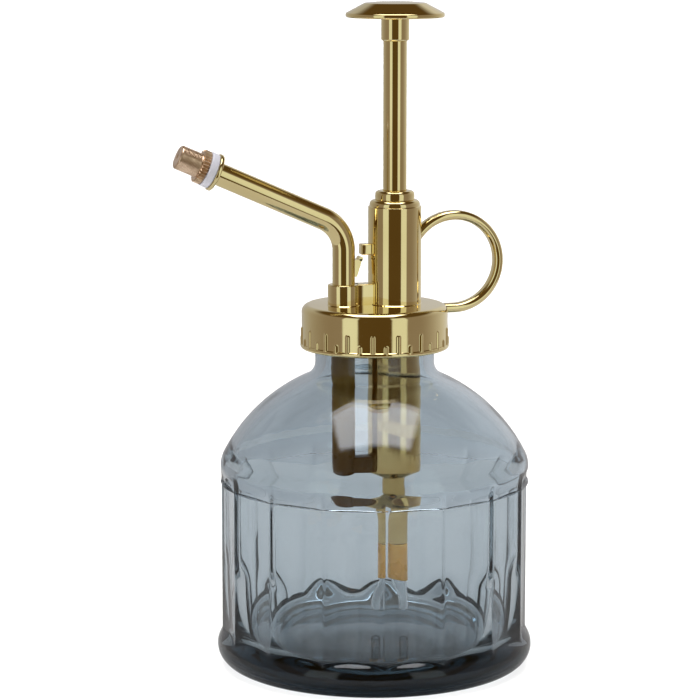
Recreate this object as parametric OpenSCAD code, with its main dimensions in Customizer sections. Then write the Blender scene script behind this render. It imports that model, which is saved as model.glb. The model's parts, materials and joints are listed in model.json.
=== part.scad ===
// Glass plant mister: panelled bottle with a hand pump, thumb knob, bent spout and finger ring.
// Millimetres, +Z up, origin on the bottle's axis at the flat of its foot, spout towards -X.

/* [Bottle] */
// Diameter over the round bead at the foot
bottle_d = 80; // [74:0.5:90]
// Height of the bottle's rim
bottle_h = 88.6; // [86:0.2:96]
// Number of flat panels round the body
panel_count = 16; // [13:1:24]
// Setback of the panel ridges from the bead
panel_inset = 1.5; // [0.8:0.1:2.5]
// Radius of the round bead at the foot
foot_bead_r = 4.9; // [4:0.1:6]
// Height of the neck, from the dome to the rim
neck_h = 13.8; // [10.6:0.2:17.6]
// Height of the dome, from the widest line of its lip to the neck
dome_h = 23.6; // [20.8:0.2:28.8]
// Setback of the dome's lip from the bead
lip_inset = 0.7; // [0.3:0.1:1.2]
// Radius of the dome's rounded lip
lip_bead_r = 2.4; // [1.6:0.1:3]
// Radius of the fillet between dome and neck
neck_fillet_r = 2.5; // [1:0.1:3]
// Outer diameter of the neck
neck_d = 30; // [29:0.2:31.6]
// Diameter of the hole through the neck
neck_bore_d = 24.6; // [24.4:0.1:26]
// Glass thickness behind the middle of a panel
wall_t = 3; // [2:0.1:5]
// Glass thickness in the dome
dome_t = 3; // [2:0.1:5]
// Glass thickness under the floor
floor_t = 11; // [6:0.5:14]
// Radius inside, between the wall and the floor
floor_fillet_r = 8; // [3:0.5:12]

/* [Cap] */
// Diameter of the cap's skirt
cap_d = 36.8; // [36:0.2:42]
// Height of the cap, lip to top
cap_h = 11; // [10:0.2:13]
// Thickness of the cap's skirt
cap_wall = 1.8; // [1.2:0.1:2]
// Thickness of the cap's top
cap_top_t = 2.2; // [1.6:0.1:3]
// Radius of the cap's top edge
cap_edge_r = 1.8; // [0.8:0.1:2.2]
// Height of the round lip at the cap's lower edge
cap_lip_h = 1.4; // [0.8:0.1:2]
// How far the lip and the ribs stand proud of the skirt
cap_lip_proud = 0.35; // [0.2:0.05:0.6]
// Number of grip ribs, long and short in turn
rib_count = 36; // [24:2:48]
// Width of a grip rib
rib_w = 1.2; // [0.8:0.1:1.6]
// Length of a long rib
rib_long = 4.9; // [3:0.1:6]
// Length of a short rib
rib_short = 2.3; // [1.5:0.1:3]
// Thickness of the sealing ring under the cap
gasket_t = 1.2; // [0.8:0.1:2]

/* [Barrel] */
// Distance of the barrel's axis from the bottle's axis
barrel_x = 5.2; // [4.8:0.1:5.4]
// Diameter of the barrel
barrel_d = 13.4; // [13:0.1:13.4]
// Height of the barrel above the cap
barrel_h = 26.2; // [24:0.2:32]
// Wall of the barrel round the cylinder
barrel_wall = 1; // [0.8:0.05:1.2]
// Radius of the barrel's top edge
barrel_edge_r = 1.4; // [0.6:0.1:1.6]
// Thickness of the barrel's top
barrel_top_t = 2.2; // [1.6:0.1:3]
// Diameter of the gland nut's head
gland_d = 9.9; // [9.4:0.1:10.4]
// Height of the gland nut's head
gland_h = 2.3; // [1.6:0.1:4]
// Diameter of the gland nut's shank
gland_shank_d = 8.4; // [7.6:0.1:8.8]
// Bevel round the top of the gland nut's head
gland_bevel = 0.4; // [0.2:0.05:0.8]
// Length of the gland nut's shank
gland_shank_l = 5.7; // [4.4:0.1:7]
// Thickness of the seal ring round the rod
rod_seal_t = 1.6; // [1:0.1:2.4]
// Width of the catch on the barrel
catch_w = 3; // [2:0.1:4]
// Height of the catch
catch_h = 2.7; // [1.6:0.1:4]
// How far the catch stands out of the barrel
catch_l = 2.3; // [1.8:0.1:2.8]
// Height of the catch's lower face above the cap
catch_z = 12.6; // [11.5:0.1:13]

/* [Plunger] */
// Diameter of the plunger rod
rod_d = 5.9; // [5.4:0.1:6.2]
// Travel of the plunger
stroke = 34; // [24:1:36]
// Gap between gland nut and knob when the plunger is fully down
stop_gap = 3.2; // [1:0.1:5]
// Diameter of the thumb knob
knob_d = 24.7; // [20:0.1:30]
// Height of the thumb knob without its collar
knob_h = 3.9; // [3:0.1:6]
// Radius of the thumb knob's rim
knob_rim_r = 0.75; // [0.5:0.05:1]
// Diameter of the knob's crown, bevel and flat together
knob_flat_d = 17.6; // [10.4:0.1:18]
// Width of the gentle bevel round the crown's flat
knob_bevel_w = 3.8; // [0.5:0.1:5]
// Drop of that bevel
knob_bevel_h = 0.3; // [0.1:0.05:0.5]
// Diameter of the collar under the knob
collar_d = 7; // [6.8:0.1:8.4]
// Height of the collar
collar_h = 5.8; // [4:0.1:8]
// Bevel on the collar's lower edge
collar_bevel = 0.45; // [0.2:0.05:0.5]
// Length of the piston
piston_l = 8; // [6:0.2:10]
// Width of the piston's seal ring
piston_seal_w = 2.8; // [1.6:0.1:3.4]
// Depth of the piston's seal groove
piston_groove = 1; // [0.6:0.1:1.4]
// Thickness of the piston under the rod's spigot
piston_floor_t = 1.2; // [0.8:0.1:2]
// Diameter of the rod's spigot in the piston
rod_spigot_d = 4; // [3:0.1:4.4]
// Wire diameter of the return spring
spring_wire_d = 0.8; // [0.5:0.05:1]
// Mean diameter of the return spring
spring_d = 7.6; // [6:0.1:8]
// Curls of the return spring
spring_turns = 14; // [8:1:16]

/* [Cylinder] */
// Diameter of the cylinder below the cap
cylinder_d = 13.4; // [12.6:0.1:13.4]
// Bore of the cylinder
cylinder_bore_d = 9.8; // [9.2:0.1:10]
// Depth of the bore's floor below the cap's top plate
cylinder_depth = 39.8; // [38:0.2:42]
// Height of the cone under the cylinder
cone_h = 3.5; // [2.5:0.1:5]
// Thickness between the bore's floor and the cone
cone_t = 2.5; // [2:0.1:4]
// Diameter of the nipple under the cone
nipple_d = 5.9; // [5.6:0.1:6.6]
// Length of the nipple
nipple_l = 13.7; // [10:0.1:16]
// Bore of the nipple
nipple_bore_d = 2.8; // [2:0.1:3]
// Diameter of the outlet riser
riser_d = 5.8; // [5.6:0.1:6]
// Bore of the outlet riser
riser_bore_d = 2.4; // [1.8:0.1:2.6]
// Width of the bridge from cylinder to riser
bridge_w = 4.4; // [3:0.1:5]
// Height of the bridge
bridge_h = 5.6; // [4.6:0.1:8]
// Diameter of the duct in the bridge
duct_d = 2; // [1.2:0.1:2]
// Thickness of the bridge above its duct
duct_roof_t = 1.2; // [0.8:0.1:2]

/* [Valves] */
// Diameter of the inlet ball
inlet_ball_d = 4.5; // [4:0.1:5]
// Diameter of the outlet ball
outlet_ball_d = 3; // [2.8:0.1:3.2]
// Lift of the valve balls
ball_lift = 1.5; // [0.8:0.1:2]
// Depth of the inlet ball's conical seat
seat_h = 2.6; // [2.2:0.1:2.8]
// Upper diameter of the inlet ball's conical seat
seat_d = 6.4; // [6:0.1:7]
// Thickness of the valve cage's top
cage_t = 1.2; // [0.8:0.1:2]
// Diameter of the hole in the valve cage's top
cage_hole_d = 2.2; // [1.4:0.1:3]
// Wall of the valve cage's legs
cage_wall = 1.3; // [0.9:0.1:1.4]
// Diameter of the riser plug's shank
plug_d = 4; // [3.8:0.1:4.2]
// Height of the riser plug's rim above its cross hole
plug_rim_h = 1.4; // [1:0.1:2]
// Height of the riser plug's round head
plug_head_h = 2; // [1.2:0.1:2.6]

/* [Dip tube] */
// Outer diameter of the dip tube
tube_d = 4.4; // [4:0.1:4.8]
// Bore of the dip tube
tube_bore_d = 2.8; // [2:0.1:3]
// Length of the amber connector
connector_l = 9.9; // [8:0.1:14]
// Length of tube held in the connector
tube_grip = 5.9; // [4:0.1:6]
// Height of the dip tube's open end above the bottle's floor
tube_gap = 1.6; // [1:0.1:4]

/* [Spout] */
// Distance of the spout's socket from the bottle's axis
spout_x = 8.1; // [7.9:0.05:8.3]
// Diameter of the spout's socket
socket_d = 8; // [7.4:0.1:9]
// Height of the spout's socket
socket_h = 5.3; // [4.5:0.1:7]
// Thickness of the web between socket and barrel
web_t = 4.6; // [2:0.1:6]
// Diameter of the spout tube
spout_d = 5.7; // [5.2:0.1:6]
// Bore of the spout tube
spout_bore_d = 3.4; // [2:0.1:3.6]
// Slope of the spout above level, in degrees
spout_angle = 24; // [10:1:40]
// Radius of the spout's bend
bend_r = 8.8; // [7:0.1:10]
// Height of the bend's corner above the cap
spout_rise = 19.6; // [19.2:0.1:26]
// Length from the bend's corner to the flange
spout_l = 35.5; // [26:0.5:50]
// Diameter of the flange at the spout's end
flange_d = 9.5; // [8:0.1:11]
// Thickness of the flange
flange_t = 1; // [0.6:0.1:2]
// Thickness of the seal ring under the spout
spout_seal_t = 1.4; // [0.8:0.1:2]
// Height of the snap tab on the spout
tab_h = 4.2; // [2:0.1:4.4]
// How far the snap tab stands out of the spout
tab_l = 2.3; // [1.2:0.1:2.6]
// How far the snap tab's lower end stands out of the spout
tab_foot_l = 0.3; // [0.1:0.1:0.6]
// Width of the snap tab
tab_w = 2.6; // [1.5:0.1:3.4]

/* [Nozzle] */
// Diameter of the threaded end that holds the nozzle
stub_d = 5; // [4.6:0.1:5.4]
// Length of the threaded end past the washer
stub_l = 2.7; // [1.6:0.1:3]
// Diameter of the white washer
washer_d = 8.9; // [7:0.1:10]
// Thickness of the white washer
washer_t = 2.1; // [1:0.1:3]
// Diameter of the nozzle's knurled ring
knurl_d = 8.6; // [7.6:0.1:11]
// Width of the nozzle's knurled ring
knurl_w = 1.9; // [1.4:0.1:4]
// Number of teeth on the knurled ring
knurl_count = 30; // [18:1:40]
// Depth of the knurl
knurl_depth = 0.35; // [0.2:0.05:0.5]
// Diameter of the nozzle's nose
nose_d = 6.1; // [5.8:0.1:7]
// Length of the nozzle's nose
nose_l = 5.7; // [4.8:0.1:8]
// Thickness of the nose's end wall
nose_wall = 0.9; // [0.6:0.1:1.4]
// Diameter of the spray hole
spray_d = 0.7; // [0.4:0.1:1]
// Diameter of the swirl insert
swirl_d = 3.8; // [3:0.1:4]
// Width of the grooves along the swirl insert
swirl_groove_w = 0.9; // [0.5:0.1:1.2]

/* [Finger ring] */
// Diameter of the ring along the middle of its bar
ring_d = 23.6; // [20:0.2:28]
// Thickness of the ring's bar
ring_bar_t = 2.4; // [1.8:0.1:2.6]
// Width of the ring's bar
ring_bar_w = 3.6; // [2.6:0.1:5]
// How far the middle of the ring's bar runs into the barrel's outline
ring_dip = 3; // [2.6:0.1:4]
// Depth of the ring's lower bar below the cap's top
ring_drop = 1.8; // [1.6:0.1:4]

/* [Fits] */
// Radial clearance of pieces that are fixed to each other
fit_c = 0.02; // [0.01:0.01:0.05]
// Radial clearance of pieces that slide or turn on each other
run_c = 0.05; // [0.02:0.01:0.1]
// Gap left between a ball and its seat, and at the spring's ends
seat_gap = 0.1; // [0.05:0.01:0.2]
// Gap between pieces that pass each other without touching
free_gap = 0.4; // [0.3:0.05:0.6]

/* [Hidden] */
$fn = 96;
// Overlap that carries a cut past the face it opens
cut = 1;

// Bottle
bead_c = bottle_d / 2 - foot_bead_r;
ridge_r = bottle_d / 2 - panel_inset;
inner_r = ridge_r * cos(180 / panel_count) - wall_t;
lip_r = bottle_d / 2 - lip_inset;
lip_c = lip_r - lip_bead_r;
neck_r = neck_d / 2;
shoulder_z = bottle_h - neck_h;
lip_z = shoulder_z - dome_h;
// The dome starts a little inside the lip's widest line
dome_step = 0.25;
dome_start_r = lip_r - dome_step;
// Centre height and radius of the sphere through the lip and the neck's root
dome_z = (dome_start_r ^ 2 + lip_z ^ 2 - neck_r ^ 2 - shoulder_z ^ 2) / (2 * (lip_z - shoulder_z));
dome_r = sqrt(dome_start_r ^ 2 + (lip_z - dome_z) ^ 2);
// Centre of the fillet that touches the neck and the dome
fillet_r = neck_r + neck_fillet_r;
fillet_z = dome_z + sqrt((dome_r + neck_fillet_r) ^ 2 - fillet_r ^ 2);
fillet_touch = dome_r / (dome_r + neck_fillet_r);

// Cap
cap_r = cap_d / 2;
plate_z = bottle_h + gasket_t;
top_z = plate_z + cap_top_t;
cap_z = top_z - cap_h;
cap_inner_r = cap_r - cap_wall;

// Barrel and gland
barrel_r = barrel_d / 2;
barrel_bore_r = barrel_r - barrel_wall;
barrel_top = top_z + barrel_h;
gland_top = barrel_top + gland_h;
seal_top = barrel_top - gland_shank_l;
liner_top = seal_top - rod_seal_t;

// Plunger
rod_r = rod_d / 2;
collar_z = gland_top + stroke + stop_gap;
knob_z = collar_z + collar_h;
knob_top = knob_z + knob_h;
piston_top = liner_top - free_gap;
piston_z = piston_top - piston_l;
piston_r = cylinder_bore_d / 2 - free_gap / 2;
groove_r = piston_r - piston_groove;
groove_z = piston_z + (piston_l - piston_seal_w) / 2;
rod_spigot_l = piston_l - piston_floor_t;

// Cylinder
cylinder_r = cylinder_d / 2;
bore_r = cylinder_bore_d / 2;
bore_z = plate_z - cylinder_depth;
cone_top = bore_z - cone_t;
nipple_top = cone_top - cone_h;
nipple_z = nipple_top - nipple_l;
spigot_l = connector_l - tube_grip;
duct_z = bore_z + duct_d / 2;
bridge_top = duct_z + duct_d / 2 + duct_roof_t;
bridge_z = bridge_top - bridge_h;

// Inlet valve: the ball rests on a cone, under the cage
seat_r = seat_d / 2;
seat_low_r = nipple_bore_d / 2;
seat_slope = atan((seat_r - seat_low_r) / seat_h);
seat_apex = bore_z - seat_r / tan(seat_slope);
inlet_z = seat_apex + (inlet_ball_d / 2 + seat_gap) / sin(seat_slope);
cage_z = inlet_z + inlet_ball_d / 2 + ball_lift + free_gap;
spring_z = cage_z + cage_t;

// Outlet valve: the ball rests on the plug's countersink, in the riser
plug_seat_r = outlet_ball_d / 2 + seat_gap;
plug_seat_z = duct_z + duct_d / 2 + plug_rim_h;
outlet_z = plug_seat_z - plug_seat_r + (outlet_ball_d / 2 + seat_gap) * sqrt(2);
ball_room_z = outlet_z + outlet_ball_d / 2 + ball_lift + free_gap;

// Dip tube
connector_z = nipple_z - connector_l;
tube_z = floor_t + tube_gap;

// Spout: it rises from the socket and bends towards -X
spout_r = spout_d / 2;
spout_turn = 90 - spout_angle;
corner_z = top_z + spout_rise;
bend_in = bend_r * tan(spout_turn / 2);
// The straight lengths run this far into the bend, which is this much fuller than they are
bend_overlap = 0.2;
bend_swell = 0.03;
tab_root_r = (spout_r + spout_bore_d / 2) / 2;
socket_floor = top_z + spout_seal_t;
washer_u = spout_l + flange_t;
knurl_u = washer_u + washer_t;
nose_u = knurl_u + knurl_w;
nose_end = nose_u + nose_l;
stub_end = knurl_u + stub_l;
swirl_u = stub_end + free_gap;
chamber_end = nose_end - nose_wall;

// Finger ring
ring_r = ring_d / 2;
ring_x = barrel_x + barrel_r + ring_r - ring_dip;
ring_z = top_z - ring_drop + ring_r;
// The ring's arc runs from its lowest point round to inside the barrel's wall, which trims it
ring_end_angle = acos((ring_r - ring_dip + barrel_wall) / (ring_r - ring_bar_t / 2));
ring_sweep = 270 - ring_end_angle;

gold = [0.80, 0.68, 0.36];
brass = [0.66, 0.52, 0.30];
glass = [0.55, 0.63, 0.70, 0.45];
steel = [0.72, 0.73, 0.75];
rubber = [0.16, 0.16, 0.17];
white = [0.90, 0.90, 0.93];
amber = [0.66, 0.46, 0.22];
clear = [0.80, 0.84, 0.87, 0.5];

// A straight ring or tube standing on z
module tube(r, hole_r, z, h) {
    translate([0, 0, z])
    difference() {
        cylinder(r = r, h = h);
        translate([0, 0, -cut]) cylinder(r = hole_r, h = h + 2 * cut);
    }
}

// A round bar standing on z
module bar(r, z, h) {
    translate([0, 0, z]) cylinder(r = r, h = h);
}

module at_barrel() {
    translate([barrel_x, 0, 0]) children();
}

module at_spout() {
    translate([-spout_x, 0, 0]) children();
}

// Puts its children on the spout's slope, with +Z along the spout from the bend's corner
module along_spout() {
    translate([-spout_x, 0, corner_z]) rotate([0, -spout_turn, 0]) children();
}

module fill_to(r, z0, z1) {
    translate([0, z0]) square([r, z1 - z0]);
}

module bottle_profile() {
    fill_to(bead_c, 0, 2 * foot_bead_r);
    translate([bead_c, foot_bead_r]) circle(foot_bead_r);
    fill_to(lip_c, lip_z - lip_bead_r, lip_z + lip_bead_r);
    translate([lip_c, lip_z]) circle(lip_bead_r);
    intersection() {
        translate([0, dome_z]) circle(dome_r);
        fill_to(dome_r, lip_z, dome_z + dome_r);
    }
    fill_to(neck_r, lip_z, bottle_h);
    difference() {
        polygon([
            [0, fillet_z],
            [fillet_r, fillet_z],
            [fillet_r * fillet_touch, dome_z + (fillet_z - dome_z) * fillet_touch],
            [0, dome_z]
        ]);
        translate([fillet_r, fillet_z]) circle(neck_fillet_r);
    }
}

module bottle_hollow() {
    fill_to(inner_r - floor_fillet_r, floor_t, floor_t + 2 * floor_fillet_r);
    translate([inner_r - floor_fillet_r, floor_t + floor_fillet_r]) circle(floor_fillet_r);
    fill_to(inner_r, floor_t + floor_fillet_r, dome_z);
    intersection() {
        fill_to(inner_r, dome_z, bottle_h);
        translate([0, dome_z]) circle(dome_r - dome_t);
    }
    fill_to(neck_bore_d / 2, dome_z, bottle_h + cut);
}

module right_half() {
    intersection() {
        children();
        fill_to(bottle_d, -cut, bottle_h + 2 * cut);
    }
}

module glass_bottle() {
    color(glass)
    difference() {
        union() {
            rotate_extrude() right_half() bottle_profile();
            translate([0, 0, foot_bead_r])
            linear_extrude(lip_z - foot_bead_r)
            polygon([
                for (i = [0 : panel_count - 1])
                    ridge_r * [cos((i + 0.5) * 360 / panel_count), sin((i + 0.5) * 360 / panel_count)]
            ]);
        }
        rotate_extrude() right_half() bottle_hollow();
    }
}

module neck_gasket() {
    color(rubber) tube(cap_inner_r - free_gap, neck_bore_d / 2, bottle_h, gasket_t);
}

module cap_profile(grow = 0) {
    fill_to(cap_r + grow, cap_z + cap_lip_h / 2, top_z - cap_edge_r);
    fill_to(cap_r - cap_edge_r, cap_z, top_z + grow);
    translate([cap_r - cap_edge_r, top_z - cap_edge_r]) circle(cap_edge_r + grow);
    translate([cap_r + cap_lip_proud - cap_lip_h / 2, cap_z + cap_lip_h / 2]) circle(cap_lip_h / 2);
    fill_to(cap_r + cap_lip_proud - cap_lip_h / 2, cap_z, cap_z + cap_lip_h);
}

module rib_outline(length) {
    translate([-rib_w / 2, 0]) square([rib_w, length - rib_w / 2]);
    translate([0, length - rib_w / 2]) circle(rib_w / 2);
}

module screw_cap() {
    color(gold)
    difference() {
        union() {
            rotate_extrude() right_half_cap() cap_profile();
            for (i = [0 : rib_count - 1])
                rotate([0, 0, (i + 0.5) * 360 / rib_count])
                translate([cap_r - cap_wall / 2, 0, cap_z + cap_lip_h / 2])
                rotate([90, 0, 90])
                linear_extrude(cap_wall / 2 + cap_lip_proud)
                rib_outline(i % 2 == 0 ? rib_long : rib_short);
        }
        bar(cap_inner_r, cap_z - cut, plate_z - cap_z + cut);
        at_barrel() bar(barrel_bore_r, plate_z - cut, cap_top_t + 2 * cut);
        at_spout() bar(riser_d / 2 + fit_c, plate_z - cut, cap_top_t + 2 * cut);
    }
}

module right_half_cap() {
    intersection() {
        children();
        fill_to(cap_d, cap_z - cut, top_z + 2 * cut);
    }
}

module barrel_profile() {
    fill_to(barrel_r, top_z, barrel_top - barrel_edge_r);
    fill_to(barrel_r - barrel_edge_r, top_z, barrel_top);
    translate([barrel_r - barrel_edge_r, barrel_top - barrel_edge_r]) circle(barrel_edge_r);
}

module pump_barrel() {
    color(gold)
    difference() {
        union() {
            at_barrel() rotate_extrude() barrel_profile();
            at_spout() bar(socket_d / 2, top_z, socket_h);
            translate([-spout_x, -web_t / 2, top_z]) cube([spout_x + barrel_x, web_t, socket_h]);
            translate([barrel_x - barrel_r - catch_l, -catch_w / 2, top_z + catch_z])
            cube([barrel_r + catch_l, catch_w, catch_h]);
        }
        at_barrel() bar(barrel_bore_r, top_z - cut, barrel_h - barrel_top_t + cut);
        at_barrel() bar(gland_shank_d / 2 + fit_c, top_z, barrel_h + cut);
        at_spout() bar(spout_r + fit_c, top_z - cut, socket_h + 2 * cut);
    }
}

module ring_section() {
    half = (ring_bar_w - ring_bar_t) / 2;
    translate([0, half]) circle(ring_bar_t / 2);
    translate([0, -half]) circle(ring_bar_t / 2);
    translate([-ring_bar_t / 2, -half]) square([ring_bar_t, 2 * half]);
}

module finger_ring() {
    color(gold)
    difference() {
        union() {
            translate([ring_x, 0, ring_z])
            rotate([90, 0, 0])
            rotate([0, 0, -90])
            rotate_extrude(angle = ring_sweep)
            translate([ring_r, 0]) ring_section();
            translate([0, 0, ring_z - ring_r])
            rotate([0, 90, 0])
            linear_extrude(ring_x) ring_section();
        }
        at_barrel() bar(barrel_r + fit_c, top_z - cut, barrel_h + cut);
        rotate_extrude() right_half_cap() cap_profile(fit_c);
        bar(cap_r - cap_edge_r, cap_z, ring_r);
    }
}

module gland_nut() {
    hole_r = rod_r + run_c;
    color(gold)
    at_barrel()
    rotate_extrude()
    polygon([
        [hole_r, seal_top],
        [gland_shank_d / 2, seal_top],
        [gland_shank_d / 2, barrel_top],
        [gland_d / 2, barrel_top],
        [gland_d / 2, gland_top - gland_bevel],
        [gland_d / 2 - gland_bevel, gland_top],
        [hole_r, gland_top]
    ]);
}

module rod_seal() {
    color(rubber) at_barrel() tube(barrel_bore_r - fit_c, rod_r + run_c, liner_top, rod_seal_t);
}

module plunger_rod() {
    color(gold)
    at_barrel() {
        bar(rod_r, piston_top, knob_z - piston_top);
        bar(rod_spigot_d / 2, piston_top - rod_spigot_l, rod_spigot_l + cut);
    }
}

module knob_profile() {
    rim_c = knob_d / 2 - knob_rim_r;
    rim_slope = 35;
    translate([rim_c, knob_z + knob_rim_r]) circle(knob_rim_r);
    polygon([
        [0, knob_z],
        [rim_c, knob_z],
        [rim_c + knob_rim_r * sin(rim_slope), knob_z + knob_rim_r * (1 + cos(rim_slope))],
        [knob_flat_d / 2, knob_top - knob_bevel_h],
        [knob_flat_d / 2 - knob_bevel_w, knob_top],
        [0, knob_top]
    ]);
    polygon([
        [0, collar_z],
        [collar_d / 2 - collar_bevel, collar_z],
        [collar_d / 2, collar_z + 2 * collar_bevel],
        [collar_d / 2, knob_z + knob_rim_r],
        [0, knob_z + knob_rim_r]
    ]);
}

module thumb_knob() {
    color(gold)
    at_barrel()
    difference() {
        rotate_extrude() knob_profile();
        bar(rod_r + fit_c, collar_z - cut, collar_h + cut);
    }
}

module piston() {
    color(white)
    at_barrel()
    difference() {
        bar(piston_r, piston_z, piston_l);
        tube(bore_r, groove_r, groove_z, piston_seal_w);
        bar(rod_spigot_d / 2 + fit_c, piston_top - rod_spigot_l, rod_spigot_l + cut);
    }
}

module piston_seal() {
    color(rubber) at_barrel() tube(bore_r - run_c, groove_r + fit_c, groove_z, piston_seal_w);
}

// Return spring: one round wire wound as a helix
spring_room = piston_z - spring_z - 2 * seat_gap - spring_wire_d;
curl_rings = 8;
spring_sides = 6;
spring_steps = curl_rings * spring_turns;
function spring_axis(i) =
    let (a = 360 * i / curl_rings)
    [spring_d / 2 * cos(a), spring_d / 2 * sin(a), spring_z + seat_gap + spring_wire_d / 2
        + spring_room * i / spring_steps];
function spring_ring(i) =
    let (a = 360 * i / curl_rings, c = spring_axis(i), out = [cos(a), sin(a), 0])
    [for (k = [0 : spring_sides - 1])
        let (b = 360 * (k + 0.5) / spring_sides)
        c + spring_wire_d / 2 * (cos(b) * out + sin(b) * [0, 0, 1])];
// Least gap between one curl's points and the next curl's
spring_pitches = [
    for (i = [0 : spring_steps - curl_rings]) norm(spring_axis(i + curl_rings) - spring_axis(i))
];
spring_gap = min(spring_pitches) - spring_wire_d;

module return_spring() {
    echo(spring_least_gap = spring_gap);
    n = spring_sides;
    last = spring_steps * n;
    points = [for (i = [0 : spring_steps]) each spring_ring(i)];
    sides = [
        for (i = [0 : spring_steps - 1], k = [0 : n - 1])
            let (a = i * n + k, b = i * n + (k + 1) % n)
            each [[a, a + n, b], [b, a + n, b + n]]
    ];
    ends = [for (k = [1 : n - 2]) each [[0, k, k + 1], [last, last + k + 1, last + k]]];
    color(steel) at_barrel() polyhedron(points, concat(sides, ends));
}

module pump_cylinder() {
    color(gold)
    difference() {
        union() {
            at_barrel() {
                bar(barrel_bore_r - fit_c, plate_z - cut, liner_top - plate_z + cut);
                bar(cylinder_r, cone_top, plate_z - cone_top);
                translate([0, 0, nipple_top]) cylinder(r1 = nipple_d / 2, r2 = cylinder_r, h = cone_h);
                bar(nipple_d / 2, nipple_z, nipple_l);
                bar(tube_d / 2, nipple_z - spigot_l, spigot_l + cut);
            }
            at_spout() bar(riser_d / 2, bridge_z, top_z - bridge_z);
            translate([-spout_x, -bridge_w / 2, bridge_z]) cube([spout_x + barrel_x, bridge_w, bridge_h]);
        }
        at_barrel() {
            bar(bore_r, bore_z, liner_top - bore_z + cut);
            translate([0, 0, bore_z - seat_h]) cylinder(r1 = seat_low_r, r2 = seat_r, h = seat_h);
            bar(nipple_bore_d / 2, nipple_z - spigot_l - cut, bore_z - nipple_z + spigot_l + cut);
        }
        at_spout() {
            bar(riser_bore_d / 2, bridge_z, top_z - bridge_z + cut);
            bar(plug_d / 2, bridge_z - cut, ball_room_z - bridge_z + cut);
            translate([0, 0, duct_z]) rotate([0, 90, 0]) cylinder(d = duct_d, h = spout_x + barrel_x);
        }
    }
}

module valve_cage() {
    slot_w = duct_d + 2 * fit_c;
    color(white)
    at_barrel()
    difference() {
        bar(bore_r - fit_c, bore_z, spring_z - bore_z);
        bar(bore_r - cage_wall, bore_z - cut, cage_z - bore_z + cut);
        bar(cage_hole_d / 2, cage_z - cut, cage_t + 2 * cut);
        for (a = [0, 90])
            rotate([0, 0, a])
            translate([-bore_r - cut, -slot_w / 2, bore_z - cut])
            cube([2 * (bore_r + cut), slot_w, cage_z - bore_z + cut]);
    }
}

module inlet_ball() {
    color(steel) at_barrel() translate([0, 0, inlet_z]) sphere(d = inlet_ball_d);
}

module riser_plug() {
    head_r = ((riser_d / 2) ^ 2 + plug_head_h ^ 2) / (2 * plug_head_h);
    hole_d = duct_d - 2 * seat_gap;
    color(gold)
    at_spout()
    difference() {
        union() {
            bar(plug_d / 2 - fit_c, bridge_z, plug_seat_z - bridge_z);
            intersection() {
                translate([0, 0, bridge_z - plug_head_h + head_r]) sphere(r = head_r);
                bar(riser_d / 2, bridge_z - plug_head_h, plug_head_h);
            }
        }
        bar(hole_d / 2, duct_z - hole_d / 2, plug_seat_z - duct_z + hole_d);
        translate([0, 0, plug_seat_z - plug_seat_r]) cylinder(r1 = 0, r2 = plug_seat_r, h = plug_seat_r);
        translate([0, 0, duct_z]) rotate([0, 90, 0]) cylinder(d = hole_d, h = plug_d);
    }
}

module outlet_ball() {
    color(steel) at_spout() translate([0, 0, outlet_z]) sphere(d = outlet_ball_d);
}

module tube_connector() {
    color(amber) at_barrel() tube(nipple_d / 2, tube_d / 2 + fit_c, connector_z, connector_l);
}

module dip_tube() {
    color(clear) at_barrel() tube(tube_d / 2, tube_bore_d / 2, tube_z, connector_z + tube_grip - tube_z);
}

// The spout's path at one radius: upright, round the bend, then along the slope to length u.
// The bend is a hair fuller than the straight lengths, which run a little way into it.
module spout_path(r, z0, u) {
    at_spout() bar(r, z0, corner_z - bend_in + bend_overlap - z0);
    translate([-spout_x - bend_r, 0, corner_z - bend_in])
    rotate([90, 0, 0])
    rotate_extrude(angle = spout_turn)
    translate([bend_r, 0]) circle(r + bend_swell);
    along_spout() bar(r, bend_in - bend_overlap, u - bend_in + bend_overlap);
}

module snap_tab() {
    tab_top = catch_z + top_z - free_gap;
    translate([-spout_x, tab_w / 2, 0])
    rotate([90, 0, 0])
    linear_extrude(tab_w)
    polygon([
        [tab_root_r, tab_top - tab_h],
        [spout_r + tab_foot_l, tab_top - tab_h],
        [spout_r + tab_l, tab_top - free_gap],
        [spout_r + tab_l, tab_top],
        [tab_root_r, tab_top]
    ]);
}

module spout_tube() {
    color(gold)
    difference() {
        union() {
            spout_path(spout_r, socket_floor, spout_l + flange_t / 2);
            along_spout() bar(flange_d / 2, spout_l, flange_t);
            along_spout() bar(stub_d / 2, spout_l, stub_end - spout_l);
            snap_tab();
        }
        spout_path(spout_bore_d / 2, socket_floor - cut, stub_end + cut);
    }
}

module spout_seal() {
    color(rubber) at_spout() tube(spout_r, riser_bore_d / 2, top_z, spout_seal_t);
}

module nozzle_washer() {
    color(white) along_spout() tube(washer_d / 2, stub_d / 2 + fit_c, washer_u, washer_t);
}

module nozzle_tip() {
    notch = knurl_depth * sqrt(2);
    color(brass)
    along_spout()
    difference() {
        union() {
            bar(knurl_d / 2, knurl_u, knurl_w);
            bar(nose_d / 2, knurl_u, nose_end - knurl_u);
        }
        for (i = [0 : knurl_count - 1])
            rotate([0, 0, i * 360 / knurl_count])
            translate([knurl_d / 2, 0, knurl_u - cut])
            rotate([0, 0, 45])
            translate([-notch / 2, -notch / 2, 0])
            cube([notch, notch, knurl_w + 2 * cut]);
        bar(stub_d / 2 + run_c, knurl_u - cut, stub_end + free_gap - knurl_u + cut);
        bar(swirl_d / 2 + run_c, knurl_u, chamber_end - knurl_u);
        bar(spray_d / 2, knurl_u, nose_end - knurl_u + cut);
    }
}

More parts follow.
